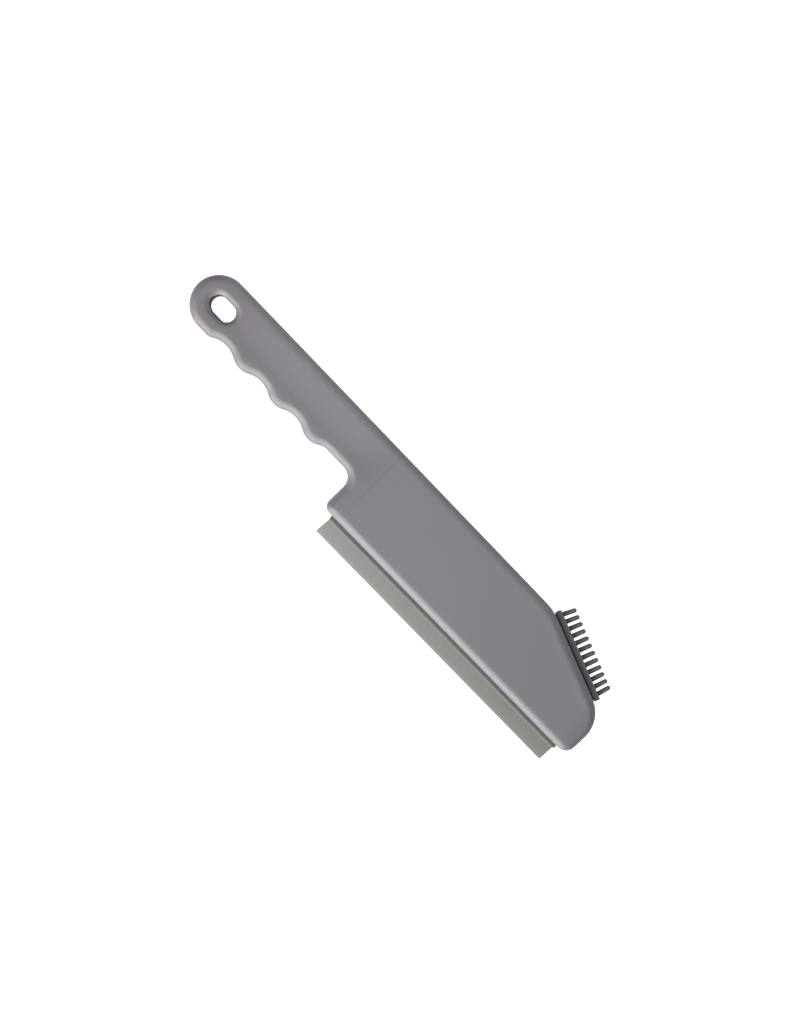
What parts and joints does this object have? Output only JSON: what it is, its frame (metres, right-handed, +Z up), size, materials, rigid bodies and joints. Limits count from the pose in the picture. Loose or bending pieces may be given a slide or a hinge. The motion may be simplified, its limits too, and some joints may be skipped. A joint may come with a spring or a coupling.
{
  "type": "hand-held carpet scraper",
  "caption": "Knife-shaped hand scraper for lifting hair and lint from carpet: grooved handle with a hanging slot, long rubber squeegee blade and a rubber comb on the sloped nose.",
  "frame": {"origin": "middle of the underside of the object's bounding box, lying on its broad rear face", "axes": "+Z up, out of the front face; +X along the length from the handle to the nose; +Y from the squeegee blade to the spine"},
  "size_m": [0.28, 0.0628, 0.015],
  "materials": {
    "shell": "fine satin-grained moulded ABS, mauve grey",
    "screw_steel": "zinc-plated",
    "carrier": "smooth extruded plastic, dark grey",
    "blade_rubber": "smooth soft rubber, warm light grey",
    "rail": "plain moulded plastic, near black",
    "comb_rubber": "soft rubber, charcoal"
  },
  "bodies": {
    "root": {"front_shell": "shell", "rear_shell": "shell", "shell_screws": "screw_steel", "blade_carrier": "carrier", "squeegee_blade": "blade_rubber", "comb_rail": "rail", "comb_strip": "comb_rubber"}
  },
  "joints": []
}
